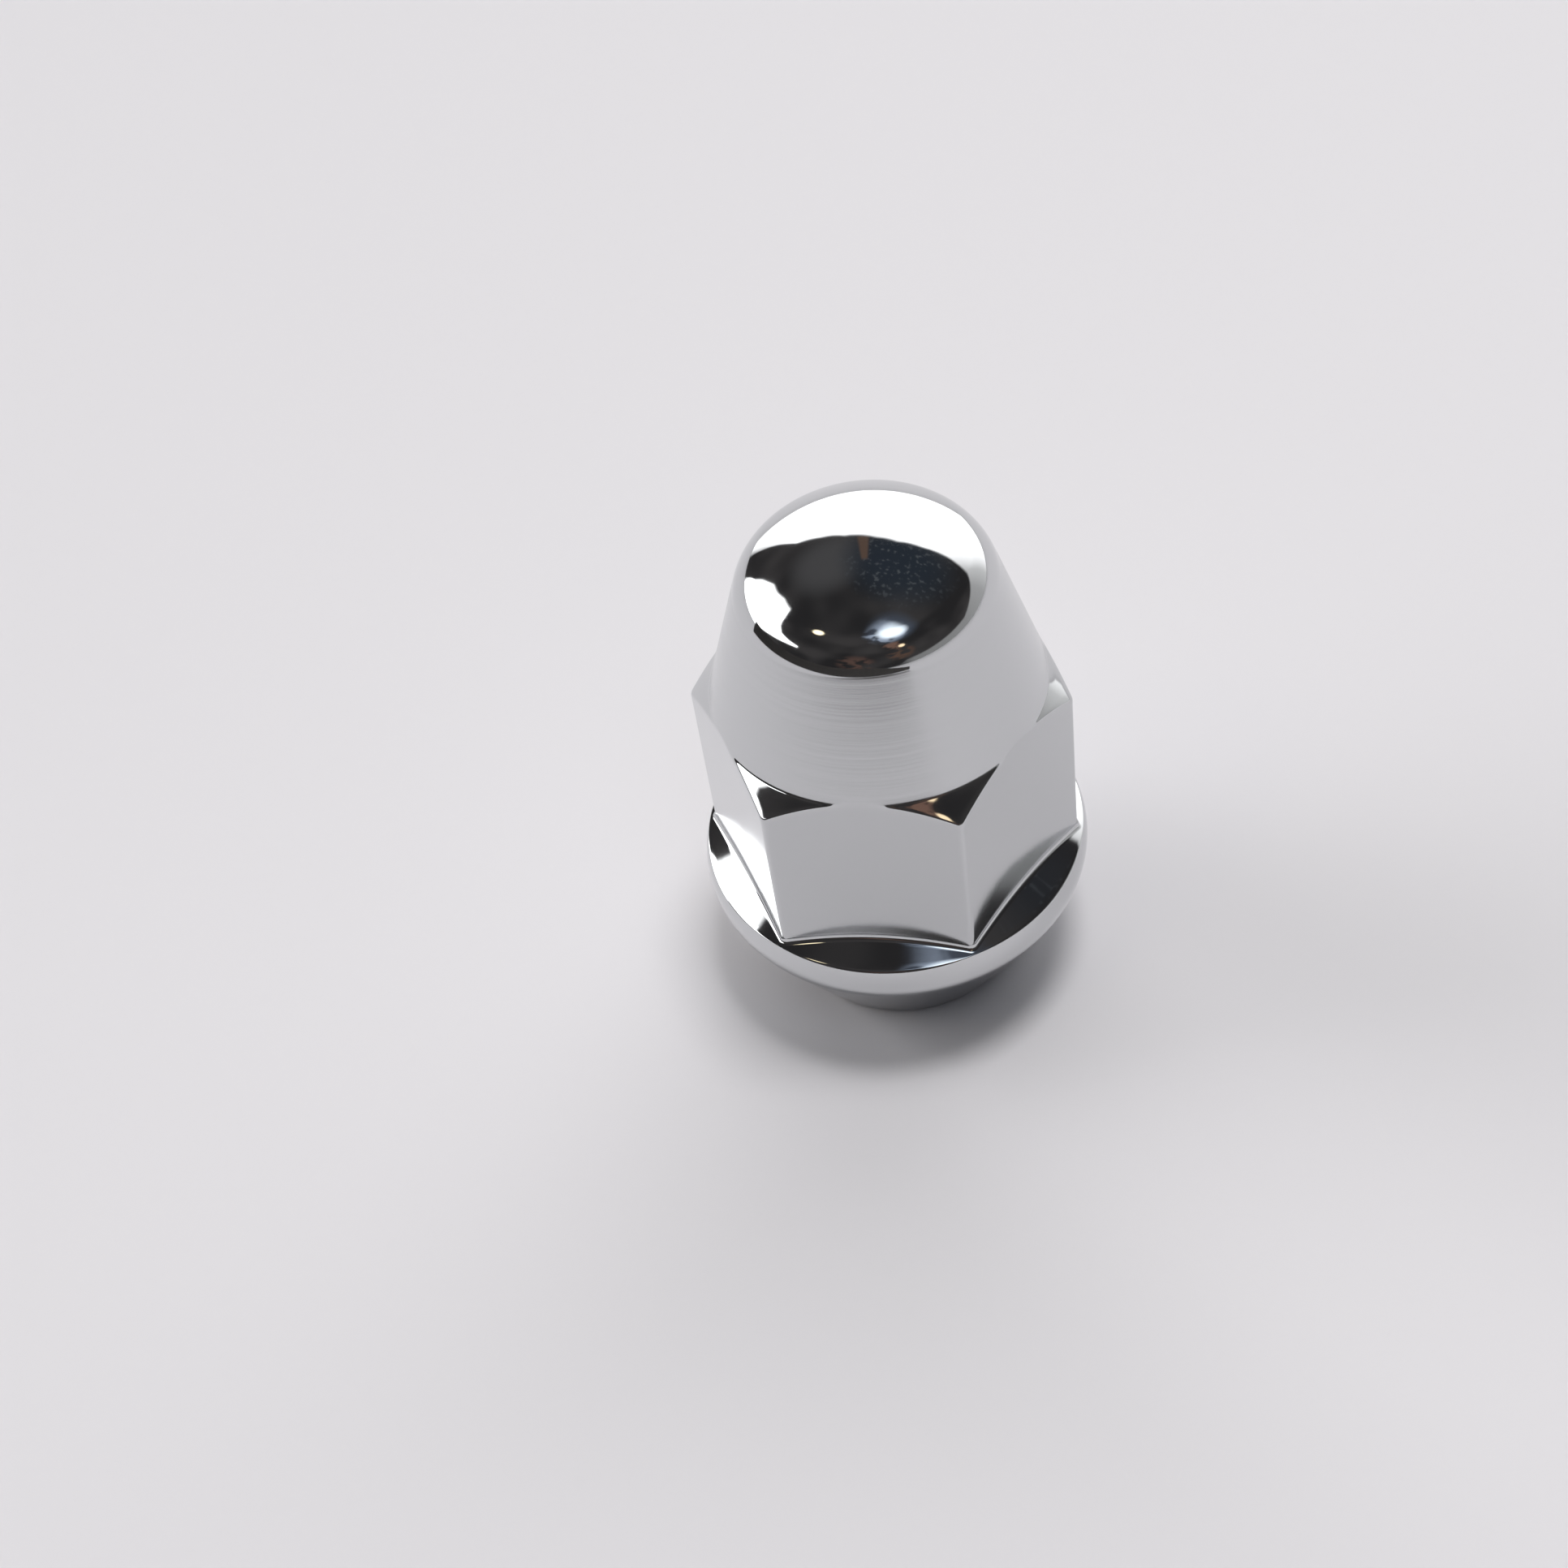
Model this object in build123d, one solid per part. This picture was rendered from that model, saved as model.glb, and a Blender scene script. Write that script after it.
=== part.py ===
from build123d import *
import math
import os

# Closed-end conical-seat wheel nut with a bulged collar, forged and plated as
# one piece. Millimetres, +Z up. The nut stands on its open end: the origin is
# the centre of the flat end ring, and the closed dome is at the top.

# Thread, M12 x 1.5, drawn as its plain bore at the minor diameter
THREAD_DIAMETER = 12.0
THREAD_PITCH = 1.5
CROWN_THICKNESS = 6.5  # solid metal between the drill tip and the top of the dome
DRILL_POINT_ANGLE = 118.0
MOUTH_CLEARANCE = 0.3  # how far the countersink opens past the thread, on the radius
COUNTERSINK_ANGLE = 90.0
CUT_OVERSHOOT = 0.3  # how far the bore's cutting form starts below the end ring

# Whole nut
OVERALL_HEIGHT = 36.8
ACROSS_FLATS = 21.0

# Hexagon
CORNER_ROUND = 0.5  # radius of the six upright corners
HEX_CHAMFER_SLOPE = 46.4  # degrees below level, on the shoulders at the top of the corners

# Closed end
CONE_BASE_OVERLAP = 0.06  # how far the foot of the cone stands past the middle of a flat
CONE_HEIGHT = 8.5
CONE_HALF_ANGLE = 16.5
DOME_EDGE_ROUND = 3.9  # profile radius where the cone turns into the dome
DOME_EDGE_SLOPE = 34.0  # degrees below level of the dome where that round begins

# Collar
LEDGE_WIDTH = 0.4  # ledge left outside a rounded corner of the hexagon
LEDGE_SLOPE = 28.0  # degrees below level, outwards
FOOT_FILLET = 0.55  # hollow between the hexagon and the ledge
BULGE_ROUND = 3.3  # profile radius of the bulged rim
BULGE_TOP_ANGLE = 22.0  # degrees above level of the rim's normal at the ledge's edge

# Seat
SEAT_HALF_ANGLE = 30.0  # a 60 degree cone
END_RING_WIDTH = 1.6  # flat ring round the mouth of the bore
END_RING_BREAK = 0.25  # small chamfer on the outer edge of that ring, measured inwards


def sin_deg(angle):
    return math.sin(math.radians(angle))


def cos_deg(angle):
    return math.cos(math.radians(angle))


def tan_deg(angle):
    return math.tan(math.radians(angle))


# Radii that follow from the sizes above
MINOR_RADIUS = THREAD_DIAMETER / 2 - 0.5413 * THREAD_PITCH
MOUTH_RADIUS = THREAD_DIAMETER / 2 + MOUTH_CLEARANCE
END_RING_RADIUS = MOUTH_RADIUS + END_RING_WIDTH
FLAT_RADIUS = ACROSS_FLATS / 2
CORNER_RADIUS = (FLAT_RADIUS - CORNER_ROUND) / cos_deg(30) + CORNER_ROUND
LEDGE_RADIUS = CORNER_RADIUS + LEDGE_WIDTH
BULGE_RADIUS = LEDGE_RADIUS + BULGE_ROUND * (1 - cos_deg(BULGE_TOP_ANGLE))
SEAT_TOP_RADIUS = BULGE_RADIUS - BULGE_ROUND * (1 - cos_deg(SEAT_HALF_ANGLE))
CONE_BASE_RADIUS = FLAT_RADIUS + CONE_BASE_OVERLAP
CONE_TOP_RADIUS = CONE_BASE_RADIUS - CONE_HEIGHT * tan_deg(CONE_HALF_ANGLE)

# Heights that follow from them
SEAT_TOP_Z = (SEAT_TOP_RADIUS - END_RING_RADIUS) / tan_deg(SEAT_HALF_ANGLE)
BULGE_Z = SEAT_TOP_Z + BULGE_ROUND * sin_deg(SEAT_HALF_ANGLE)
LEDGE_Z = BULGE_Z + BULGE_ROUND * sin_deg(BULGE_TOP_ANGLE)
DOME_EDGE_NORMAL = 90.0 - DOME_EDGE_SLOPE
DOME_ROUND_REACH = DOME_EDGE_ROUND * (cos_deg(CONE_HALF_ANGLE) - cos_deg(DOME_EDGE_NORMAL))
DOME_RADIUS_AT_EDGE = CONE_TOP_RADIUS - DOME_ROUND_REACH
DOME_SPHERE_RADIUS = DOME_RADIUS_AT_EDGE / cos_deg(DOME_EDGE_NORMAL)
DOME_EDGE_Z = OVERALL_HEIGHT - DOME_SPHERE_RADIUS * (1 - sin_deg(DOME_EDGE_NORMAL))
DOME_ROUND_HEIGHT = DOME_EDGE_ROUND * (sin_deg(DOME_EDGE_NORMAL) - sin_deg(CONE_HALF_ANGLE))
CONE_TOP_Z = DOME_EDGE_Z - DOME_ROUND_HEIGHT
CONE_BASE_Z = CONE_TOP_Z - CONE_HEIGHT
DRILL_POINT_HEIGHT = MINOR_RADIUS / tan_deg(DRILL_POINT_ANGLE / 2)
BORE_SHOULDER_Z = OVERALL_HEIGHT - CROWN_THICKNESS - DRILL_POINT_HEIGHT
COUNTERSINK_DEPTH = (MOUTH_RADIUS - MINOR_RADIUS) / tan_deg(COUNTERSINK_ANGLE / 2)


def on_round(centre_r, centre_z, radius, normal_angle):
    """Point of a profile round where its normal stands normal_angle above level."""
    return centre_r + radius * cos_deg(normal_angle), centre_z + radius * sin_deg(normal_angle)


def ledge_height(radius):
    """Height of the sloping ledge at a radius."""
    return LEDGE_Z + (LEDGE_RADIUS - radius) * tan_deg(LEDGE_SLOPE)


def turned(outline_edges):
    """Solid of revolution about Z from a closed outline in the XZ plane."""
    return revolve(Plane.XZ * make_face(outline_edges), Axis.Z, 360)


def hexagon_bar():
    """Upright hexagonal bar with rounded corners; two of its flats face -Y and +Y."""
    bar_height = OVERALL_HEIGHT - SEAT_TOP_Z
    hexagon = RegularPolygon(FLAT_RADIUS, 6, major_radius=False, rotation=0)
    rounded = fillet(hexagon.vertices(), CORNER_ROUND)
    return Pos(0, 0, SEAT_TOP_Z) * extrude(rounded, bar_height)


def closed_end():
    """Turned form that trims the bar: corner chamfer, cone, edge round and dome."""
    chamfer_reach = CORNER_RADIUS + CORNER_ROUND
    chamfer_drop = (chamfer_reach - CONE_BASE_RADIUS) * tan_deg(HEX_CHAMFER_SLOPE)
    round_r = CONE_TOP_RADIUS - DOME_EDGE_ROUND * cos_deg(CONE_HALF_ANGLE)
    round_z = CONE_TOP_Z - DOME_EDGE_ROUND * sin_deg(CONE_HALF_ANGLE)
    sphere_z = OVERALL_HEIGHT - DOME_SPHERE_RADIUS
    round_middle = on_round(round_r, round_z, DOME_EDGE_ROUND, (CONE_HALF_ANGLE + DOME_EDGE_NORMAL) / 2)
    dome_middle = on_round(0, sphere_z, DOME_SPHERE_RADIUS, (DOME_EDGE_NORMAL + 90) / 2)
    cone_top = (CONE_TOP_RADIUS, CONE_TOP_Z)
    dome_edge = (DOME_RADIUS_AT_EDGE, DOME_EDGE_Z)
    apex = (0, OVERALL_HEIGHT)
    sides = Polyline(
        (0, SEAT_TOP_Z),
        (chamfer_reach, SEAT_TOP_Z),
        (chamfer_reach, CONE_BASE_Z - chamfer_drop),
        (CONE_BASE_RADIUS, CONE_BASE_Z),
        cone_top,
    )
    edge_round = ThreePointArc(cone_top, round_middle, dome_edge)
    dome = ThreePointArc(dome_edge, dome_middle, apex)
    axis = Line(apex, (0, SEAT_TOP_Z))
    return turned(sides.edges() + [edge_round, dome, axis])


def collar():
    """Turned foot: end ring, conical seat, bulged rim and sloping ledge."""
    bulge_centre_r = BULGE_RADIUS - BULGE_ROUND
    break_reach = END_RING_BREAK / 2  # the break meets the seat this far outside the ring's corner
    break_top = (END_RING_RADIUS + break_reach, break_reach / tan_deg(SEAT_HALF_ANGLE))
    seat_top = (SEAT_TOP_RADIUS, SEAT_TOP_Z)
    ledge_edge = (LEDGE_RADIUS, LEDGE_Z)
    seat = Polyline(
        (0, 0),
        (END_RING_RADIUS - END_RING_BREAK, 0),
        break_top,
        seat_top,
    )
    bulge = ThreePointArc(seat_top, on_round(bulge_centre_r, BULGE_Z, BULGE_ROUND, 0), ledge_edge)
    top = Polyline(ledge_edge, (0, ledge_height(0)), (0, 0))
    return turned(seat.edges() + [bulge] + top.edges())


def bore():
    """Blind tapping bore from below, with its countersink and drill point."""
    start_radius = MOUTH_RADIUS + CUT_OVERSHOOT * tan_deg(COUNTERSINK_ANGLE / 2)
    outline = Polyline(
        (0, -CUT_OVERSHOOT),
        (start_radius, -CUT_OVERSHOOT),
        (MINOR_RADIUS, COUNTERSINK_DEPTH),
        (MINOR_RADIUS, BORE_SHOULDER_Z),
        (0, BORE_SHOULDER_Z + DRILL_POINT_HEIGHT),
        (0, -CUT_OVERSHOOT),
    )
    return turned(outline.edges())


def is_foot_edge(edge):
    """True for an edge where the hexagon meets the ledge."""
    middle = edge.position_at(0.5)
    radius = math.hypot(middle.X, middle.Y)
    inside = FLAT_RADIUS - 0.01 < radius < CORNER_RADIUS + 0.01
    return inside and abs(middle.Z - ledge_height(radius)) < 0.01


def lug_nut():
    upper = hexagon_bar() & closed_end()
    blank = upper + collar()
    foot_edges = blank.edges().filter_by(is_foot_edge)
    blank = fillet(foot_edges, FOOT_FILLET)
    return blank - bore()


os.makedirs("parts", exist_ok=True)
export_step(lug_nut(), "parts/lug_nut.step")
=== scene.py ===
import math

import bmesh
import bpy
from bpy.props import FloatProperty, FloatVectorProperty, IntProperty, PointerProperty
from mathutils import Matrix, Vector


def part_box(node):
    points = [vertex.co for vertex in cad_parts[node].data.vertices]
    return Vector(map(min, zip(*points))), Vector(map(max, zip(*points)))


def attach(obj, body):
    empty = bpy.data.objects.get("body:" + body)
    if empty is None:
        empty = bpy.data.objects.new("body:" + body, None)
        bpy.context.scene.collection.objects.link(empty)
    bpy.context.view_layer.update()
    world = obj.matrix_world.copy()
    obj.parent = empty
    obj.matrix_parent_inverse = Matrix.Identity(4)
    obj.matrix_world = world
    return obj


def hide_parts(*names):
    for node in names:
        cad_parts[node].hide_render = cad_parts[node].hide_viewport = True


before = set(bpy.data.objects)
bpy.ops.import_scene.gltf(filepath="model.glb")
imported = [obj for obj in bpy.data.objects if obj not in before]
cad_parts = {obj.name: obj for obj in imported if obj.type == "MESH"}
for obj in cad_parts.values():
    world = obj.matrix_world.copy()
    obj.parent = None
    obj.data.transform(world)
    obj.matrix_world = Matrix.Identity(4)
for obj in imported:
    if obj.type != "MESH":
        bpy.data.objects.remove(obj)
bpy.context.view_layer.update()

bl_info = {
    "name": "Closed-end lug nut",
    "version": (1, 0, 0),
    "blender": (4, 5, 0),
    "location": "3D View > Sidebar > Lug Nut",
    "description": "Builds a chrome-plated lug nut with a blind threaded bore, and a plain stage for it",
    "category": "Object",
}

NUT_BOTTOM, NUT_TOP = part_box("lug_nut")
MM = 0.001
# Radius lost from the major to the minor diameter, for each unit of a metric thread's pitch
THREAD_DEPTH = 0.5413


def tilted(radius, centre_r, centre_z, angle):
    """Point of a profile round whose normal stands angle degrees above level."""
    turn = math.radians(angle)
    return Vector((centre_r + radius * math.cos(turn), centre_z + radius * math.sin(turn)))


def spaced(first, last, count):
    """count evenly spaced numbers from first to last, both included."""
    return [first + (last - first) * i / (count - 1) for i in range(count)]


class NutSizes(bpy.types.PropertyGroup):
    """Sizes of the nut's outside, as on a drawing"""

    height: FloatProperty(
        name="Overall height", description="From the end ring to the top of the dome",
        default=NUT_TOP.z - NUT_BOTTOM.z, unit="LENGTH")
    across_flats: FloatProperty(
        name="Across flats", description="Width of the hexagon that the socket grips",
        default=21 * MM, unit="LENGTH")
    corner_round: FloatProperty(
        name="Corner round", description="Radius of the six upright corners",
        default=0.5 * MM, unit="LENGTH")
    shoulder_slope: FloatProperty(
        name="Shoulder slope", description="Fall of the chamfer at the top of the corners",
        default=math.radians(46.4), subtype="ANGLE")
    cone_overlap: FloatProperty(
        name="Cone overlap", description="How far the cone's foot stands past the middle of a flat",
        default=0.06 * MM, unit="LENGTH")
    cone_height: FloatProperty(
        name="Cone height", description="Height of the satin cone above the hexagon",
        default=8.5 * MM, unit="LENGTH")
    cone_half_angle: FloatProperty(
        name="Cone half angle", description="Lean of the cone's side from the upright",
        default=math.radians(16.5), subtype="ANGLE")
    dome_edge_round: FloatProperty(
        name="Dome edge round", description="Profile radius where the cone turns into the dome",
        default=3.9 * MM, unit="LENGTH")
    dome_edge_slope: FloatProperty(
        name="Dome edge slope", description="Fall of the dome where its edge round begins",
        default=math.radians(34.0), subtype="ANGLE")
    ledge_width: FloatProperty(
        name="Ledge width", description="Ledge left outside a rounded corner of the hexagon",
        default=0.4 * MM, unit="LENGTH")
    ledge_slope: FloatProperty(
        name="Ledge slope", description="Fall of the ledge, outwards",
        default=math.radians(28.0), subtype="ANGLE")
    foot_fillet: FloatProperty(
        name="Foot fillet", description="Hollow between the hexagon and the ledge, where the ledge is wide",
        default=0.55 * MM, unit="LENGTH")
    foot_share: FloatProperty(
        name="Foot share", description="Most of the ledge's width that the hollow may take", default=0.85)
    bulge_round: FloatProperty(
        name="Bulge round", description="Profile radius of the bulged rim",
        default=3.3 * MM, unit="LENGTH")
    bulge_top_angle: FloatProperty(
        name="Bulge top angle", description="Tilt of the rim's surface where the ledge begins",
        default=math.radians(22.0), subtype="ANGLE")
    seat_half_angle: FloatProperty(
        name="Seat half angle", description="Lean of the conical seat from the upright",
        default=math.radians(30.0), subtype="ANGLE")
    ring_width: FloatProperty(
        name="End ring width", description="Flat ring round the mouth of the bore",
        default=1.6 * MM, unit="LENGTH")
    edge_softness: FloatProperty(
        name="Edge softness", description="How far plating and polishing round each sharp edge",
        default=0.14 * MM, unit="LENGTH")
    rows_per_flat: IntProperty(
        name="Rows per flat", description="Upright rows of faces from corner to corner of a flat",
        default=60)


class ThreadSizes(bpy.types.PropertyGroup):
    """Sizes of the blind threaded bore"""

    diameter: FloatProperty(
        name="Thread diameter", description="Major diameter of the thread", default=12 * MM, unit="LENGTH")
    pitch: FloatProperty(
        name="Pitch", description="Rise of the thread in one turn", default=1.5 * MM, unit="LENGTH")
    mouth_clearance: FloatProperty(
        name="Mouth clearance", description="How far the countersink opens past the thread, on the radius",
        default=0.3 * MM, unit="LENGTH")
    crown: FloatProperty(
        name="Crown thickness", description="Solid metal between the drill tip and the top of the dome",
        default=6.5 * MM, unit="LENGTH")
    drill_angle: FloatProperty(
        name="Drill point angle", description="Full angle of the cone that the drill leaves",
        default=math.radians(118), subtype="ANGLE")
    plain_end: FloatProperty(
        name="Plain end", description="Length of drilled wall past the last full thread",
        default=2.2 * MM, unit="LENGTH")
    steps_per_turn: IntProperty(
        name="Steps per turn", description="Faces along one turn of the thread", default=72)


class ChromeFinish(bpy.types.PropertyGroup):
    """Colours and roughness of the plating"""

    bright: FloatVectorProperty(
        name="Bright chrome", description="Colour of clean polished plating", subtype="COLOR", size=3,
        min=0, max=1, default=(0.62, 0.63, 0.64))
    polished: FloatProperty(
        name="Polished roughness", description="Roughness of the dome, the rim and the chamfers",
        default=0.05)
    satin: FloatProperty(
        name="Satin roughness", description="Roughness of the brushed cone", default=0.2)
    flat: FloatProperty(
        name="Flat roughness", description="Roughness of the six flats", default=0.13)
    bore: FloatProperty(
        name="Bore roughness", description="Roughness of the thread, where the plating is thin",
        default=0.38)
    dull: FloatVectorProperty(
        name="Bore colour", description="Colour of the thin plating inside the bore", subtype="COLOR",
        size=3, min=0, max=1, default=(0.42, 0.41, 0.4))
    # Painted shade: the seat colour is a dark tint that stands in for the shade under the rim
    seat: FloatVectorProperty(
        name="Seat colour", description="Colour of the thinner plating on the conical seat",
        subtype="COLOR", size=3, min=0, max=1, default=(0.17, 0.18, 0.2))
    brush_depth: FloatProperty(
        name="Brush depth", description="Depth of the fine lines round the cone", default=0.0035 * MM,
        unit="LENGTH", precision=6)
    wave_depth: FloatProperty(
        name="Wave depth", description="Height of the slow waves on the forged flats", default=0.02 * MM,
        unit="LENGTH", precision=6)
    ripple_depth: FloatProperty(
        name="Ripple depth", description="Height of the plating's faint ripple", default=0.002 * MM,
        unit="LENGTH", precision=6)


class StageSettings(bpy.types.PropertyGroup):
    """Floor, light and camera"""

    floor_colour: FloatVectorProperty(
        name="Floor colour", description="Colour of the plain floor", subtype="COLOR", size=3,
        min=0, max=1, default=(0.78, 0.76, 0.78))
    floor_radius: FloatProperty(
        name="Floor radius", description="Radius of the round floor", default=2.0, unit="LENGTH")
    backdrop: FloatVectorProperty(
        name="Backdrop", description="Plain background behind the floor's far edge", subtype="COLOR",
        size=3, min=0, max=1, default=(0.82, 0.81, 0.82))
    room_dark: FloatVectorProperty(
        name="Room", description="Dim walls and ceiling that the plating mirrors", subtype="COLOR", size=3,
        min=0, max=1, default=(0.027, 0.026, 0.027))
    room_warm: FloatVectorProperty(
        name="Room things", description="Paler patches of the room that the plating mirrors",
        subtype="COLOR", size=3, min=0, max=1, default=(0.062, 0.058, 0.058))
    soft_box: FloatProperty(
        name="Soft box", description="Brightness of the lamp overhead, which the plating doesn't mirror",
        default=18.5)
    soft_box_width: FloatProperty(
        name="Soft box width", description="Width of that lamp", default=0.34, unit="LENGTH")
    soft_box_place: FloatVectorProperty(
        name="Soft box place", description="Where that lamp hangs", subtype="TRANSLATION", size=3,
        default=(0.15, 0.06, 1.1))
    card_colour: FloatVectorProperty(
        name="Card colour", description="Colour of the dark card in front", subtype="COLOR", size=3,
        min=0, max=1, default=(0.03, 0.027, 0.025))
    card_distance: FloatProperty(
        name="Card distance", description="Distance of that card from the nut's axis",
        default=0.165, unit="LENGTH")
    card_height: FloatProperty(
        name="Card height", description="Height of that card, past its tapered end",
        default=0.042, unit="LENGTH")
    lens: FloatProperty(
        name="Lens", description="Focal length of the camera in millimetres", default=56.94)
    camera_place: FloatVectorProperty(
        name="Camera place", description="Where the camera stands", subtype="TRANSLATION", size=3,
        default=(0.02045, -0.10518, 0.13540))
    camera_bearing: FloatProperty(
        name="Camera bearing", description="Turn of the camera about the upright",
        default=math.radians(14.645), subtype="ANGLE")
    camera_tilt: FloatProperty(
        name="Camera tilt", description="Angle of the camera's view from straight down",
        default=math.radians(41.83), subtype="ANGLE")
    camera_roll: FloatProperty(
        name="Camera roll", description="Turn of the camera about its own view",
        default=math.radians(-9.595), subtype="ANGLE")


def nut_levels(size, thread):
    """Radii and heights that follow from the drawing's sizes."""
    apothem = size.across_flats / 2
    corner = (apothem - size.corner_round) / math.cos(math.pi / 6) + size.corner_round
    mouth = thread.diameter / 2 + thread.mouth_clearance
    bulge_top = math.degrees(size.bulge_top_angle)
    seat_lean = math.degrees(size.seat_half_angle)
    ledge_r = corner + size.ledge_width
    bulge_r = ledge_r - size.bulge_round * math.cos(size.bulge_top_angle)
    seat_top_r = bulge_r + size.bulge_round * math.cos(size.seat_half_angle)
    seat_top_z = (seat_top_r - mouth - size.ring_width) / math.tan(size.seat_half_angle)
    bulge_z = seat_top_z + size.bulge_round * math.sin(size.seat_half_angle)
    cone_base_r = apothem + size.cone_overlap
    cone_top_r = cone_base_r - size.cone_height * math.tan(size.cone_half_angle)
    cone_lean = math.degrees(size.cone_half_angle)
    dome_normal = 90 - math.degrees(size.dome_edge_slope)
    edge_r = cone_top_r - size.dome_edge_round * math.cos(size.cone_half_angle)
    dome_r = edge_r / math.sin(size.dome_edge_slope) + size.dome_edge_round
    dome_z = size.height - dome_r
    edge_z = dome_z + (dome_r - size.dome_edge_round) * math.cos(size.dome_edge_slope)
    cone_top_z = edge_z + size.dome_edge_round * math.sin(size.cone_half_angle)
    return {
        "apothem": apothem, "corner": corner, "mouth": mouth,
        "ring_r": mouth + size.ring_width,
        "seat_top": Vector((seat_top_r, seat_top_z)), "seat_lean": seat_lean,
        "bulge_r": bulge_r, "bulge_z": bulge_z, "bulge_top": bulge_top,
        "ledge_r": ledge_r, "ledge_z": bulge_z + size.bulge_round * math.sin(size.bulge_top_angle),
        "cone_base": Vector((cone_base_r, cone_top_z - size.cone_height)),
        "cone_top": Vector((cone_top_r, cone_top_z)), "cone_lean": cone_lean,
        "edge_r": edge_r, "edge_z": edge_z, "dome_normal": dome_normal, "dome_r": dome_r, "dome_z": dome_z,
    }


def hexagon_radius(size, level, from_corner):
    """Distance from the axis to the hexagon's side, at an angle from the nearest corner."""
    bend = (level["apothem"] - size.corner_round) / math.cos(math.pi / 6)
    flat_half = (level["apothem"] - size.corner_round) * math.tan(math.pi / 6)
    if abs(from_corner) > math.pi / 6 - math.atan2(flat_half, level["apothem"]):
        return level["apothem"] / math.cos(math.pi / 6 - abs(from_corner))
    across = bend * math.sin(from_corner)
    return bend * math.cos(from_corner) + math.sqrt(size.corner_round ** 2 - across ** 2)


def along(path, distance):
    """Point at a distance along straight runs; before the first and past the last it goes straight on."""
    for start, end in zip(path, path[1:]):
        run = (end - start).length
        if distance <= run or end is path[-1]:
            return start + (end - start) * (distance / run) if run > 0 else start.copy()
        distance -= run


def softened(path, distance, reach, samples=6):
    """Point of the same runs with their corners rounded over reach to each side."""
    total = Vector((0, 0))
    for i in range(-samples, samples + 1):
        total += along(path, distance + reach * i / samples)
    return total / (2 * samples + 1)


def corner_points(before, corner, after, reach, count):
    """Points round a softened corner between two straight runs."""
    path = [corner + (before - corner).normalized() * 3 * reach, corner,
            corner + (after - corner).normalized() * 3 * reach]
    return [softened(path, d, reach) for d in spaced(2 * reach, 4 * reach, count)]


def nut_section(size, level, from_corner):
    """Points (radius, height) up the nut's outside at an angle from the nearest corner, mouth to dome.

    Also gives the places in that list of the hexagon's foot and of the cone's two ends.
    """
    soft = size.edge_softness
    side = hexagon_radius(size, level, from_corner)
    ring = Vector((level["ring_r"], 0))
    points = [Vector((r, 0)) for r in spaced(level["mouth"] + soft, level["ring_r"] - 3 * soft, 4)]
    points += corner_points(points[-1], ring, level["seat_top"], 2 * soft, 7)
    seat_start = points[-1]
    points += [seat_start.lerp(level["seat_top"], t) for t in spaced(0.04, 0.97, 8)]
    points += [tilted(size.bulge_round, level["bulge_r"], level["bulge_z"], a)
               for a in spaced(-level["seat_lean"], level["bulge_top"] - 4, 16)]
    ledge_edge = Vector((level["ledge_r"], level["ledge_z"]))
    foot_z = level["ledge_z"] + (level["ledge_r"] - side) * math.tan(size.ledge_slope)
    ledge = level["ledge_r"] - side
    bend = math.tan((math.pi / 2 - size.ledge_slope) / 2)
    hollow = min(size.foot_fillet, size.foot_share * ledge / bend / math.cos(size.ledge_slope))
    below_edge = tilted(size.bulge_round, level["bulge_r"], level["bulge_z"], level["bulge_top"] - 6)
    inward = Vector((side, foot_z))
    points += corner_points(below_edge, ledge_edge, inward, min(soft, 0.07 * ledge), 7)
    foot = len(points)

    # Hollow foot: a round that leaves the ledge and ends upright on the side
    lean = math.pi / 2 - size.ledge_slope
    tangent = hollow * bend
    centre = Vector((side + hollow, foot_z + tangent))
    ledge_end = centre - hollow * Vector((math.cos(lean), math.sin(lean)))
    points += [points[-1].lerp(ledge_end, t) for t in spaced(0.25, 0.9, 3)]
    points += [centre - hollow * Vector((math.cos(a), math.sin(a))) for a in spaced(lean, 0, 14)]

    # Side, shoulder and foot of the cone
    base = level["cone_base"]
    if side > base.x:
        top = Vector((side, base.y - (side - base.x) * math.tan(size.shoulder_slope)))
        base_now = base
    else:
        top = Vector((side, base.y + (base.x - side) / math.tan(size.cone_half_angle)))
        base_now = top
    shoulder = (base_now - top).length
    cone_top = level["cone_top"]
    path = [Vector((side, centre.y)), top, base_now, cone_top]
    wall = top.y - centre.y
    points += [Vector((side, centre.y + (wall - soft) * t)) for t in (0.02, 0.1, 0.3, 0.5, 0.7, 0.88, 0.97)]
    near = min(soft, shoulder / 2)
    stops = (spaced(-soft, near, 6) + spaced(near, shoulder - near, 4)[1:-1]
             + spaced(shoulder - near, shoulder + soft, 6))
    points += [softened(path, wall + s, soft) for s in stops]
    cone_low = len(points)
    points += [points[-1].lerp(cone_top, t) for t in spaced(0.05, 0.97, 12)]
    cone_high = len(points)

    # Edge round and dome
    points += [tilted(size.dome_edge_round, level["edge_r"], level["edge_z"], a)
               for a in spaced(level["cone_lean"], level["dome_normal"], 18)]
    points += [tilted(level["dome_r"], 0, level["dome_z"], a)
               for a in spaced(level["dome_normal"], 90, 18)[1:]]
    return points, (foot, cone_low, cone_high)


def crowded(turn, rows):
    """Angle of an upright row from the middle of its flat, with rows drawn together at the corners."""
    share = abs(turn) / (rows / 2)
    stops = ((0, 0), (0.68, 27.3), (0.78, 28.7), (1, 30))
    for (u0, a0), (u1, a1) in zip(stops, stops[1:]):
        if share <= u1:
            angle = a0 + (a1 - a0) * (share - u0) / (u1 - u0)
            return math.copysign(math.radians(angle), turn)


def only(elements, kind):
    """The elements of one kind in an operator's result."""
    return [e for e in elements if isinstance(e, kind)]


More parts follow.
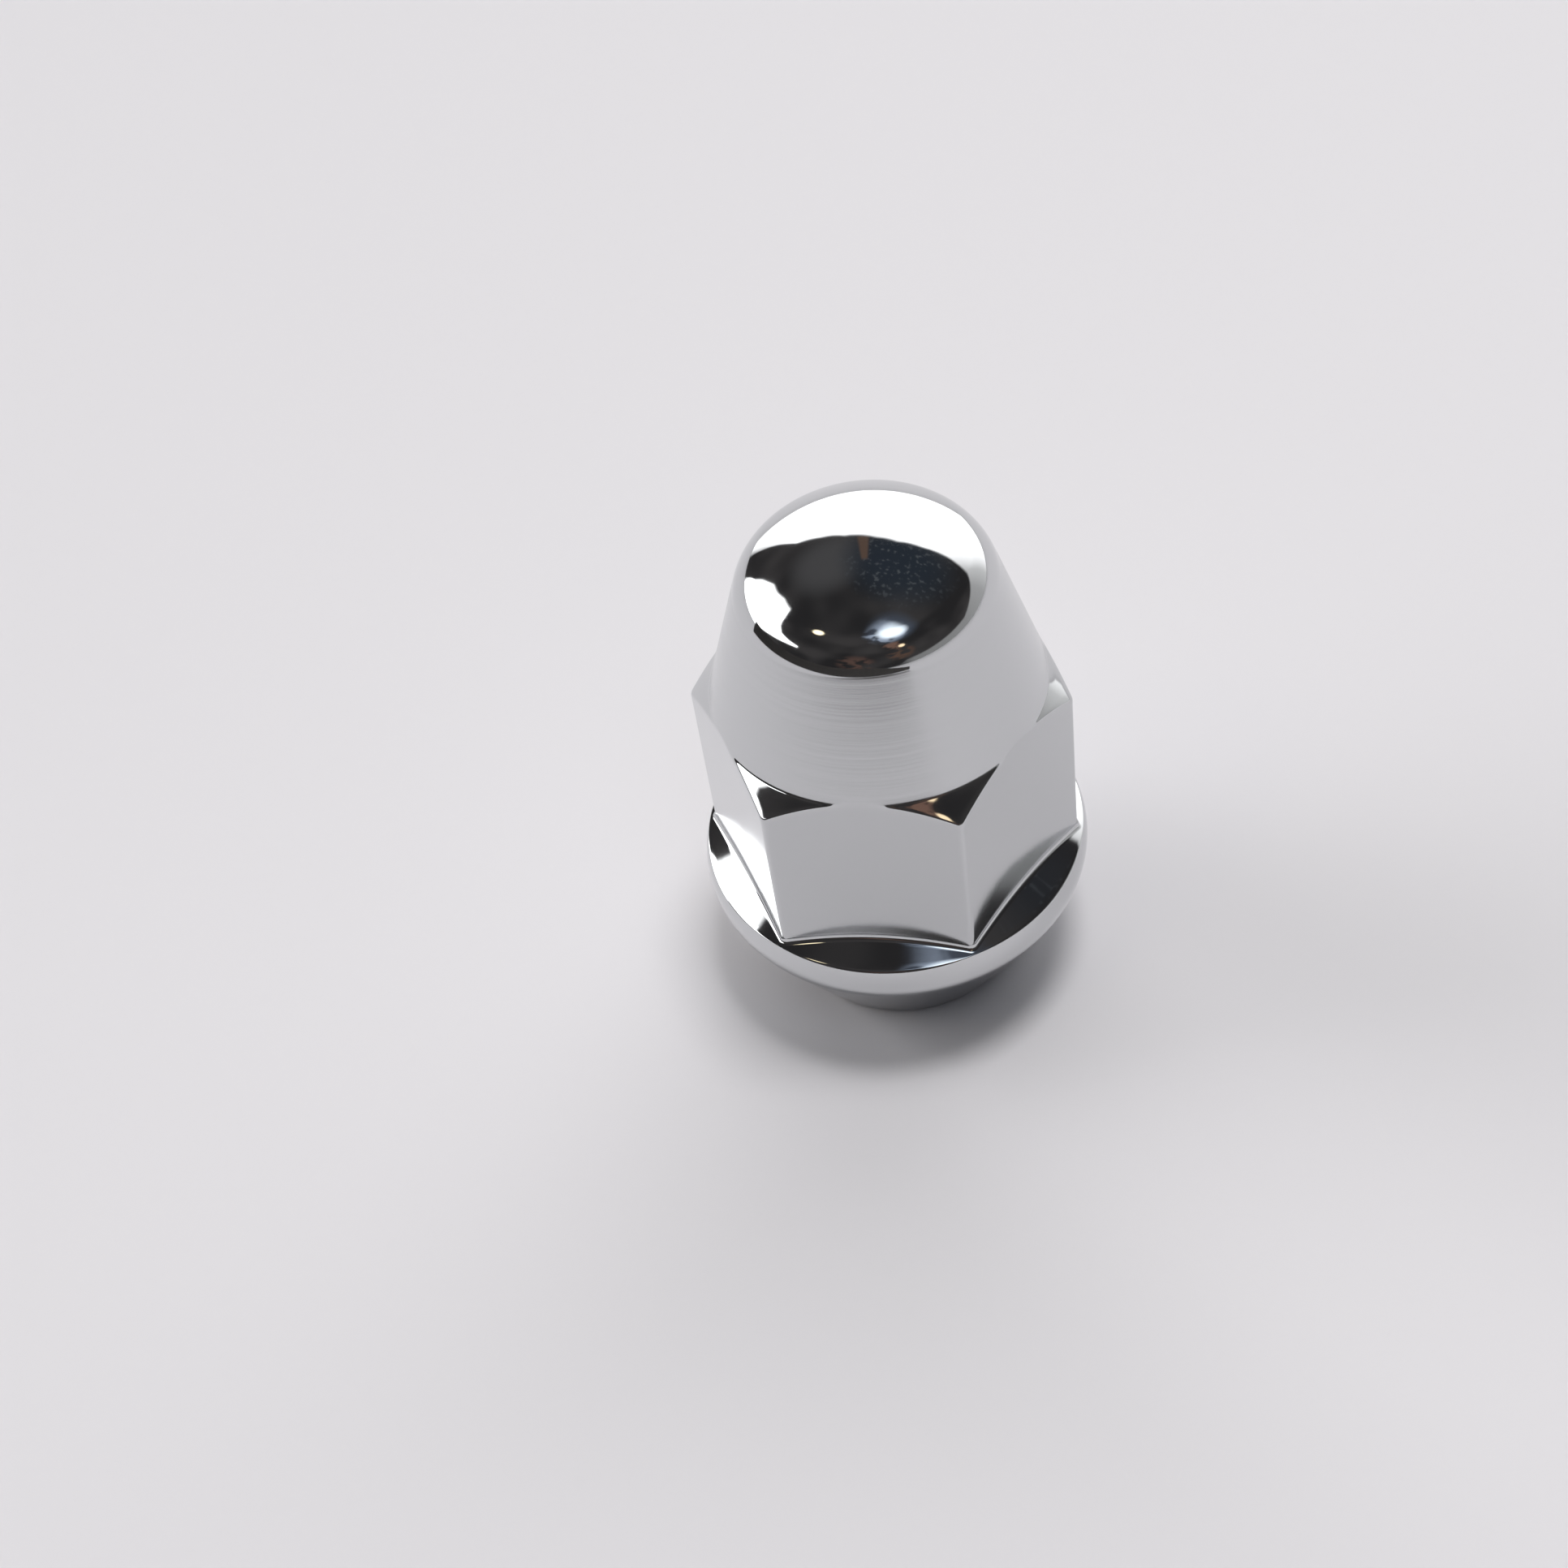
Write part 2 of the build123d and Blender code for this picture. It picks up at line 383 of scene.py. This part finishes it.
def nut_outside(bm, size, level):
    """Spins one sixth of the nut, presses it to its flat, and copies it round the axis."""
    rows = size.rows_per_flat
    section, (foot, cone_low, cone_high) = nut_section(size, level, math.pi / 6)
    station = bm.verts.layers.int.new("station")
    verts = [bm.verts.new((p.x, 0, p.y)) for p in section]
    for i, v in enumerate(verts):
        v[station] = i
    edges = [bm.edges.new(pair) for pair in zip(verts, verts[1:])]
    bmesh.ops.spin(bm, geom=verts + edges, cent=(0, 0, 0), axis=(0, 0, 1), angle=math.pi / 3,
                   steps=rows, use_merge=False, use_duplicate=False)
    sections = [nut_section(size, level, math.pi / 6 - crowded(i, rows))[0] for i in range(rows // 2 + 1)]
    for v in bm.verts:
        if v.co.xy.length < 1e-7:
            continue
        turn = round(math.atan2(v.co.y, v.co.x) / (math.pi / 3) * rows) - rows // 2
        i = v[station]
        # Rows crowd to the corners on the hexagon and spread evenly on the turned parts
        crowding = min(1, i / foot, max(0, (cone_high - i) / (cone_high - cone_low)))
        even = turn * math.pi / 3 / rows
        heading = math.pi / 6 + even + (crowded(turn, rows) - even) * crowding
        point = sections[abs(turn)][i]
        v.co = (point.x * math.cos(heading), point.x * math.sin(heading), point.y)
    sixth = bm.verts[:] + bm.edges[:] + bm.faces[:]
    for _ in range(5):
        sixth = bmesh.ops.duplicate(bm, geom=sixth)["geom"]
        bmesh.ops.rotate(bm, verts=only(sixth, bmesh.types.BMVert),
                         matrix=Matrix.Rotation(math.pi / 3, 3, "Z"))
    bmesh.ops.remove_doubles(bm, verts=bm.verts, dist=1e-7)


def thread_section(thread, minor):
    """One pitch of the thread's section, as (radius, height)."""
    major = thread.diameter / 2
    crest, root = thread.pitch / 4, thread.pitch / 8
    flank = (thread.pitch - crest - root) / 2
    corners = ((minor, 0), (minor, crest), (major, crest + flank), (major, crest + flank + root),
               (minor, thread.pitch))
    points = []
    for (r0, z0), (r1, z1), parts in zip(corners, corners[1:], (2, 4, 1, 4)):
        points += [(r0 + (r1 - r0) * k / parts, z0 + (z1 - z0) * k / parts) for k in range(parts)]
    return points + [corners[-1]]


def threaded_bore(bm, thread, level):
    """Screws one turn of thread, copies it up the bore, and trims it at the mouth and the shoulder."""
    minor = thread.diameter / 2 - THREAD_DEPTH * thread.pitch
    shoulder = NUT_TOP.z - thread.crown - minor / math.tan(thread.drill_angle / 2)
    low = -2 * thread.pitch
    verts = [bm.verts.new((r, 0, z + low)) for r, z in thread_section(thread, minor)]
    edges = [bm.edges.new(pair) for pair in zip(verts, verts[1:])]
    bmesh.ops.spin(bm, geom=verts + edges, cent=(0, 0, 0), axis=(0, 0, 1),
                   dvec=(0, 0, thread.pitch / thread.steps_per_turn), angle=2 * math.pi,
                   steps=thread.steps_per_turn, use_merge=False, use_duplicate=False)
    turn = bm.verts[:] + bm.edges[:] + bm.faces[:]
    for _ in range(math.ceil((shoulder - low) / thread.pitch)):
        turn = bmesh.ops.duplicate(bm, geom=turn)["geom"]
        bmesh.ops.translate(bm, verts=only(turn, bmesh.types.BMVert), vec=(0, 0, thread.pitch))
    bmesh.ops.remove_doubles(bm, verts=bm.verts, dist=2e-6)
    # The countersink opens the mouth, and the last turns fade into the drilled wall
    fade = shoulder - thread.plain_end
    for v in bm.verts:
        radius = v.co.xy.length
        faded = minor + max(0, fade - v.co.z) * 0.9
        wanted = max(min(radius, faded), level["mouth"] - v.co.z, minor)
        v.co.xy *= wanted / radius
    for height, above in ((0, True), (shoulder, False)):
        bmesh.ops.bisect_plane(bm, geom=bm.verts[:] + bm.edges[:] + bm.faces[:], dist=1e-7,
                               plane_co=(0, 0, height), plane_no=(0, 0, 1),
                               clear_inner=above, clear_outer=not above)
    top = [e for e in bm.edges if e.is_boundary and min(v.co.z for v in e.verts) > shoulder - 1e-6]
    drilled = bmesh.ops.extrude_edge_only(bm, edges=top)["geom"]
    tip = (0, 0, NUT_TOP.z - thread.crown)
    bmesh.ops.pointmerge(bm, verts=only(drilled, bmesh.types.BMVert), merge_co=tip)


def turn_of(vert):
    """Angle of a vertex round the axis."""
    return math.atan2(vert.co.y, vert.co.x)


def bridged(bm, split):
    """Fills the flat gap between the two open rims, one inside and one outside the radius split."""
    rim = {v for e in bm.edges if e.is_boundary for v in e.verts}
    inner = sorted((v for v in rim if v.co.xy.length < split), key=turn_of)
    outer = sorted((v for v in rim if v.co.xy.length >= split), key=turn_of)
    i = j = 0
    while i < len(inner) or j < len(outer):
        pair = [inner[i % len(inner)], outer[j % len(outer)]]
        next_inner, next_outer = inner[(i + 1) % len(inner)], outer[(j + 1) % len(outer)]
        inner_turn = turn_of(next_inner) + 2 * math.pi * ((i + 1) // len(inner))
        outer_turn = turn_of(next_outer) + 2 * math.pi * ((j + 1) // len(outer))
        if j == len(outer) or (i < len(inner) and inner_turn < outer_turn):
            bm.faces.new(pair + [next_inner])
            i += 1
        else:
            bm.faces.new(pair + [next_outer])
            j += 1


def joined(parts, split):
    """One bmesh from several, with the rims that they leave at the mouth bridged."""
    bm = bmesh.new()
    for part in parts:
        mesh = bpy.data.meshes.new("part")
        part.to_mesh(mesh)
        part.free()
        bm.from_mesh(mesh)
        bpy.data.meshes.remove(mesh)
    bridged(bm, split)
    bmesh.ops.recalc_face_normals(bm, faces=bm.faces)
    return bm


def maths(tree, operation, *inputs):
    """A Math node on sockets and numbers; returns its output."""
    node = tree.nodes.new("ShaderNodeMath")
    node.operation = operation
    for socket, value in zip(node.inputs, inputs):
        if isinstance(value, (int, float)):
            socket.default_value = value
        else:
            tree.links.new(value, socket)
    return node.outputs[0]


def smooth_range(tree, value, low, high):
    """A smooth step of value from 0, at low, to 1, at high."""
    node = tree.nodes.new("ShaderNodeMapRange")
    node.interpolation_type = "SMOOTHSTEP"
    tree.links.new(value, node.inputs["Value"])
    node.inputs["From Min"].default_value = low
    node.inputs["From Max"].default_value = high
    return node.outputs["Result"]


def linked(tree, value, socket):
    """Puts a number, a tuple or another node's output on a socket."""
    if isinstance(value, bpy.types.NodeSocket):
        tree.links.new(value, socket)
    else:
        socket.default_value = value


def mixed(tree, share, first, second):
    """Mix of two colours by share."""
    node = tree.nodes.new("ShaderNodeMix")
    node.data_type = "RGBA"
    linked(tree, share, node.inputs["Factor"])
    linked(tree, first, node.inputs["A"])
    linked(tree, second, node.inputs["B"])
    return node.outputs["Result"]


def noise(tree, position, stretch, detail):
    """A noise whose features are one unit across once position is multiplied by stretch."""
    scaled = tree.nodes.new("ShaderNodeVectorMath")
    scaled.operation = "MULTIPLY"
    tree.links.new(position, scaled.inputs[0])
    scaled.inputs[1].default_value = stretch
    node = tree.nodes.new("ShaderNodeTexNoise")
    node.inputs["Scale"].default_value = 1.0
    node.inputs["Detail"].default_value = detail
    tree.links.new(scaled.outputs[0], node.inputs["Vector"])
    return node.outputs["Fac"]


def between(tree, value, low, high, blur):
    """1 where value lies between low and high, fading over blur at both ends."""
    over = smooth_range(tree, value, low - blur / 2, low + blur / 2)
    under = smooth_range(tree, value, high + blur / 2, high - blur / 2)
    return maths(tree, "MULTIPLY", over, under)


def blended(tree, share, first, second):
    """first where share is 0 and second where it is 1, for numbers."""
    node = tree.nodes.new("ShaderNodeMix")
    linked(tree, share, node.inputs["Factor"])
    linked(tree, first, node.inputs["A"])
    linked(tree, second, node.inputs["B"])
    return node.outputs["Result"]


def above_slope(tree, radius, z, slope, start_r, start_z):
    """Height above a turned surface that falls outwards at a slope through a point."""
    fall = maths(tree, "MULTIPLY", radius, math.tan(slope))
    return maths(tree, "SUBTRACT", maths(tree, "ADD", z, fall), start_z + start_r * math.tan(slope))


def chrome_plate(finish, size, level):
    """Bright nickel-chrome: mirror dome and rim, brushed cone, uneven forged flats, dull bore, and painted
    shade on the seat.
    """
    material = bpy.data.materials.new("chrome_plate")
    material.use_nodes = True
    tree = material.node_tree
    shader = tree.nodes["Principled BSDF"]
    position = tree.nodes.new("ShaderNodeTexCoord").outputs["Object"]
    parts = tree.nodes.new("ShaderNodeSeparateXYZ")
    tree.links.new(position, parts.inputs[0])
    x, y, z = parts.outputs
    squares = maths(tree, "ADD", maths(tree, "MULTIPLY", x, x), maths(tree, "MULTIPLY", y, y))
    radius = maths(tree, "SQRT", squares)
    cone = between(tree, z, level["cone_base"].y + 0.05 * MM, level["cone_top"].y - 0.1 * MM, 0.2 * MM)
    # The flats lie below the shoulder's chamfers and above the ledge
    past_shoulder = above_slope(tree, radius, z, size.shoulder_slope, *level["cone_base"])
    past_ledge = above_slope(tree, radius, z, size.ledge_slope, level["ledge_r"], level["ledge_z"])
    flats = maths(tree, "MULTIPLY", smooth_range(tree, past_shoulder, -0.05 * MM, -0.2 * MM),
                  smooth_range(tree, past_ledge, 0.1 * MM, 0.4 * MM))
    bore = maths(tree, "MULTIPLY", between(tree, radius, -MM, level["mouth"] + 0.05 * MM, 0.1 * MM),
                 between(tree, z, -MM, size.height - 5 * MM, 0.1 * MM))

    smears = noise(tree, position, (260, 260, 260), 3.0)
    polished = blended(tree, smears, finish.polished * 0.6, finish.polished * 1.5)
    satin_line = noise(tree, position, (60, 60, 4500), 3.0)
    satin = blended(tree, satin_line, finish.satin * 0.8, finish.satin * 1.25)
    forged = blended(tree, smears, finish.flat * 0.8, finish.flat * 1.25)
    rough = blended(tree, cone, blended(tree, flats, polished, forged), satin)
    linked(tree, blended(tree, bore, rough, finish.bore), shader.inputs["Roughness"])
    shader.inputs["Metallic"].default_value = 1.0
    # Painted shade: below the rim the seat takes the dark seat colour, as if it lay in shadow
    seat = smooth_range(tree, z, level["bulge_z"] - 0.4 * MM, level["seat_top"].y - 0.4 * MM)
    colour = mixed(tree, seat, (*finish.bright, 1), (*finish.seat, 1))
    linked(tree, mixed(tree, bore, colour, (*finish.dull, 1)), shader.inputs["Base Color"])

    # Heights in metres: lines on the cone, slow waves on the forged flats, plating ripple everywhere
    brushed = maths(tree, "MULTIPLY", satin_line, maths(tree, "MULTIPLY", cone, finish.brush_depth))
    waves = maths(tree, "MULTIPLY", noise(tree, position, (210, 210, 160), 1.0),
                  maths(tree, "MULTIPLY", flats, finish.wave_depth))
    ripple = maths(tree, "MULTIPLY", noise(tree, position, (700, 700, 700), 2.0), finish.ripple_depth)
    height = maths(tree, "ADD", maths(tree, "ADD", brushed, waves), ripple)
    bump = tree.nodes.new("ShaderNodeBump")
    bump.inputs["Distance"].default_value = 1.0
    linked(tree, height, bump.inputs["Height"])
    linked(tree, bump.outputs["Normal"], shader.inputs["Normal"])
    return material


def shown(bm, name, material):
    """Puts a finished bmesh in the scene as an object with one material."""
    mesh = bpy.data.meshes.new(name)
    bm.to_mesh(mesh)
    bm.free()
    mesh.materials.append(material)
    piece = bpy.data.objects.new(name, mesh)
    bpy.context.scene.collection.objects.link(piece)
    return piece


def matte(name, colour):
    """A plain dull material."""
    material = bpy.data.materials.new(name)
    material.use_nodes = True
    shader = material.node_tree.nodes["Principled BSDF"]
    shader.inputs["Base Color"].default_value = (*colour, 1)
    shader.inputs["Roughness"].default_value = 0.9
    return material


class LUGNUT_OT_nut(bpy.types.Operator):
    """Make the plated nut with its threaded bore"""

    bl_idname = "lugnut.nut"
    bl_label = "Plated nut"

    def execute(self, context):
        scene = context.scene
        size, thread, finish = scene.nut_sizes, scene.thread_sizes, scene.chrome_finish
        level = nut_levels(size, thread)
        outside, inside = bmesh.new(), bmesh.new()
        nut_outside(outside, size, level)
        threaded_bore(inside, thread, level)
        bm = joined((outside, inside), level["mouth"] + size.edge_softness / 2)
        open_edges = sum(1 for e in bm.edges if not e.is_manifold)
        if open_edges:
            raise RuntimeError(f"the nut's shell has {open_edges} open edges")
        nut = shown(bm, "plated_nut", chrome_plate(finish, size, level))
        nut.data.shade_smooth()
        nut.data.set_sharp_from_angle(angle=math.radians(32))
        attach(nut, "root")
        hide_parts("lug_nut")
        return {"FINISHED"}


def toward(bearing, elevation):
    """Unit vector at a bearing in degrees clockwise from +Y, and an elevation above level."""
    b, e = math.radians(bearing), math.radians(elevation)
    return Vector((math.sin(b) * math.cos(e), math.cos(b) * math.cos(e), math.sin(e)))


def round_the_room(tree, bearing, stops, top):
    """A number that changes with the bearing, from (degrees, number) stops between -top and top."""
    ramp = tree.nodes.new("ShaderNodeValToRGB")
    elements = ramp.color_ramp.elements
    while len(elements) < len(stops):
        elements.new(0.5)
    for element, (where, number) in zip(elements, stops):
        element.position = (where + 180) / 360
        element.color = (number / top / 2 + 0.5,) * 3 + (1,)
    turn = maths(tree, "MULTIPLY_ADD", bearing, 0.5 / math.pi, 0.5)
    linked(tree, turn, ramp.inputs["Fac"])
    return maths(tree, "MULTIPLY_ADD", ramp.outputs["Color"], 2 * top, -top)


def glow(tree, direction, bearing, elevation, inner, outer):
    """1 at the middle of a round lamp, fading to 0 at its outer angle in degrees."""
    node = tree.nodes.new("ShaderNodeVectorMath")
    node.operation = "DOT_PRODUCT"
    tree.links.new(direction, node.inputs[0])
    node.inputs[1].default_value = toward(bearing, elevation)
    edge, middle = math.cos(math.radians(outer)), math.cos(math.radians(inner))
    return smooth_range(tree, node.outputs["Value"], edge, middle)


# Bearings of the dark card's columns, then where its height tapers from and over how far, in degrees
CARD_BEARINGS = range(145, 271, 5)
CARD_TAPER_START = 135
CARD_TAPER = 35

# The room's openings at each bearing: top and bottom in degrees above level, and brightness
OPENING_TOP = (
    (-180, 0), (-131, 0), (-128, 19), (-118, 20), (-110, 22), (-104, 29), (-97, 40), (-91, 46), (-80, 42),
    (-74, 37), (-67, 33), (-61, 22), (-57, 0), (-46, 0), (-41, 30), (-32, 38), (-20, 45), (0, 49), (15, 49),
    (30, 44), (45, 34), (60, 25), (90, 10), (120, 8), (145, 6), (152, 0), (180, 0),
)
OPENING_FOOT = ((-180, 18), (-128, 17), (-118, 14), (-104, 8), (-92, 2), (-80, -90), (180, -90))
OPENING_LIGHT = (
    (-180, 0.08), (-133, 0.15), (-129, 3.8), (-60, 3.8), (-57, 0.1), (-46, 0.1), (-41, 2.3), (34, 2.3),
    (50, 0.8), (64, 0.5), (90, 0.36), (140, 0.28), (150, 0.1), (180, 0.08),
)


def room_light(stage):
    """The room: a broad window behind the nut, one to its left, a pale wall to its right, a dim ceiling."""
    world = bpy.data.worlds.new("room")
    world.use_nodes = True
    tree = world.node_tree
    direction = tree.nodes.new("ShaderNodeTexCoord").outputs["Generated"]
    parts = tree.nodes.new("ShaderNodeSeparateXYZ")
    tree.links.new(direction, parts.inputs[0])
    x, y, z = parts.outputs
    bearing = maths(tree, "ARCTAN2", x, y)
    elevation = maths(tree, "MULTIPLY", maths(tree, "ARCSINE", z), 180 / math.pi)
    over = maths(tree, "SUBTRACT", elevation, round_the_room(tree, bearing, OPENING_TOP, 90))
    under = maths(tree, "SUBTRACT", elevation, round_the_room(tree, bearing, OPENING_FOOT, 90))
    opening = maths(tree, "MULTIPLY", smooth_range(tree, over, 1.5, -1.5),
                    smooth_range(tree, under, -1.5, 1.5))
    bright = round_the_room(tree, bearing, OPENING_LIGHT, 5)
    things = noise(tree, direction, (2.0, 2.0, 2.6), 1.0)
    room = mixed(tree, smooth_range(tree, things, 0.35, 0.75), (*stage.room_dark, 1), (*stage.room_warm, 1))
    bluish = glow(tree, direction, 30, 62, 4, 34)
    grains = smooth_range(tree, noise(tree, direction, (26, 26, 26), 1.0), 0.58, 0.7)
    ragged = smooth_range(tree, noise(tree, direction, (7, 7, 12), 2.0), 0.42, 0.6)
    # A brown window frame, its half width in radians
    from_frame = maths(tree, "ABSOLUTE", maths(tree, "ADD", bearing, math.radians(9)))
    frame_side = smooth_range(tree, from_frame, 0.09, 0.04)
    frame_reach = between(tree, elevation, 48, 66, 3)
    # Patches and lamps, each laid over the ones before it: where it shows, and its colour
    glows = (
        (glow(tree, direction, -45, 58, 4, 24), (0.085, 0.083, 0.085)),
        (bluish, (0.028, 0.036, 0.048)),
        (maths(tree, "MULTIPLY", bluish, grains), (0.1, 0.11, 0.12)),
        (maths(tree, "MULTIPLY", frame_side, frame_reach), (0.13, 0.085, 0.065)),
        (maths(tree, "MULTIPLY", glow(tree, direction, 148, 20, 4, 13), ragged), (0.13, 0.08, 0.06)),
        (maths(tree, "MULTIPLY", glow(tree, direction, 152, 35, 4, 9), ragged), (0.22, 0.13, 0.1)),
        (maths(tree, "MULTIPLY", glow(tree, direction, -176, 12, 5, 17), ragged), (0.12, 0.075, 0.062)),
        (glow(tree, direction, 145, 58, 2, 20), (0.09, 0.11, 0.15)),
        (maths(tree, "MULTIPLY", glow(tree, direction, 152, 57, 6, 17), ragged), (0.5, 0.58, 0.72)),
        (glow(tree, direction, 145, 58, 3, 12), (1.8, 2.0, 2.2)),
        (glow(tree, direction, -130, 52, 2.5, 4.5), (2.8, 2.4, 1.6)),
        (glow(tree, direction, 145, 32, 1.5, 3), (1.8, 1.4, 0.9)),
    )
    for mask, tint in glows:
        room = mixed(tree, mask, room, (*tint, 1))
    room = mixed(tree, opening, room, bright)
    path = tree.nodes.new("ShaderNodeLightPath")
    seen = mixed(tree, path.outputs["Is Camera Ray"], room, (*stage.backdrop, 1))
    tree.links.new(seen, tree.nodes["Background"].inputs["Color"])
    return world


class LUGNUT_OT_stage(bpy.types.Operator):
    """Make the floor, the light and the camera"""

    bl_idname = "lugnut.stage"
    bl_label = "Stage"

    def execute(self, context):
        scene = context.scene
        stage = scene.stage_settings
        bm = bmesh.new()
        bmesh.ops.create_circle(bm, cap_ends=True, segments=128, radius=stage.floor_radius)
        shown(bm, "floor", matte("floor", stage.floor_colour))

        # A dark card stands in front, tapered at its right-hand end, and shows only in the plating
        bm = bmesh.new()
        low, high = [], []
        for bearing in CARD_BEARINGS:
            foot = toward(bearing, 0) * stage.card_distance
            rise = stage.card_height * min(1, (bearing - CARD_TAPER_START) / CARD_TAPER)
            low.append(bm.verts.new(foot))
            high.append(bm.verts.new(foot + Vector((0, 0, rise))))
        for a, b, c, d in zip(low, low[1:], high[1:], high):
            bm.faces.new((a, b, c, d))
        card = shown(bm, "dark_card", matte("dark_card", stage.card_colour))
        card.visible_camera = False
        card.visible_diffuse = False
        card.visible_shadow = False

        scene.world = room_light(stage)
        soft = bpy.data.lights.new("soft_box", "AREA")
        soft.shape = "DISK"
        soft.size = stage.soft_box_width
        soft.energy = stage.soft_box * (math.pi * stage.soft_box_width / 2) ** 2
        overhead = bpy.data.objects.new("soft_box", soft)
        overhead.location = stage.soft_box_place
        overhead.rotation_euler = Vector(overhead.location).to_track_quat("Z", "Y").to_euler()
        overhead.visible_glossy = False
        scene.collection.objects.link(overhead)

        camera_data = bpy.data.cameras.new("camera")
        camera_data.lens = stage.lens
        camera_data.sensor_width = 36
        camera_data.clip_start = 0.01
        camera = bpy.data.objects.new("camera", camera_data)
        scene.collection.objects.link(camera)
        turn = (Matrix.Rotation(stage.camera_bearing, 4, "Z") @ Matrix.Rotation(stage.camera_tilt, 4, "X")
                @ Matrix.Rotation(stage.camera_roll, 4, "Z"))
        camera.matrix_world = Matrix.Translation(stage.camera_place) @ turn
        scene.camera = camera
        scene.view_settings.view_transform = "Standard"
        return {"FINISHED"}


class LUGNUT_PT_panel(bpy.types.Panel):
    """Shows the settings of the nut and its stage, with the buttons that build them"""

    bl_label = "Lug nut"
    bl_idname = "LUGNUT_PT_panel"
    bl_space_type = "VIEW_3D"
    bl_region_type = "UI"
    bl_category = "Lug Nut"

    def draw(self, context):
        scene = context.scene
        for group in (scene.nut_sizes, scene.thread_sizes, scene.chrome_finish, scene.stage_settings):
            box = self.layout.box()
            for name in group.bl_rna.properties.keys():
                if name not in ("rna_type", "name"):
                    box.prop(group, name)
        self.layout.operator(LUGNUT_OT_nut.bl_idname)
        self.layout.operator(LUGNUT_OT_stage.bl_idname)


GROUPS = {
    "nut_sizes": NutSizes,
    "thread_sizes": ThreadSizes,
    "chrome_finish": ChromeFinish,
    "stage_settings": StageSettings,
}
OPERATORS = (LUGNUT_OT_nut, LUGNUT_OT_stage)


def register():
    for name, group in GROUPS.items():
        bpy.utils.register_class(group)
        setattr(bpy.types.Scene, name, PointerProperty(type=group))
    for operator in OPERATORS:
        bpy.utils.register_class(operator)
    bpy.utils.register_class(LUGNUT_PT_panel)


def unregister():
    bpy.utils.unregister_class(LUGNUT_PT_panel)
    for operator in reversed(OPERATORS):
        bpy.utils.unregister_class(operator)
    for name, group in reversed(GROUPS.items()):
        delattr(bpy.types.Scene, name)
        bpy.utils.unregister_class(group)


def main():
    register()
    bpy.ops.lugnut.nut()
    bpy.ops.lugnut.stage()


if __name__ == "__main__":
    main()
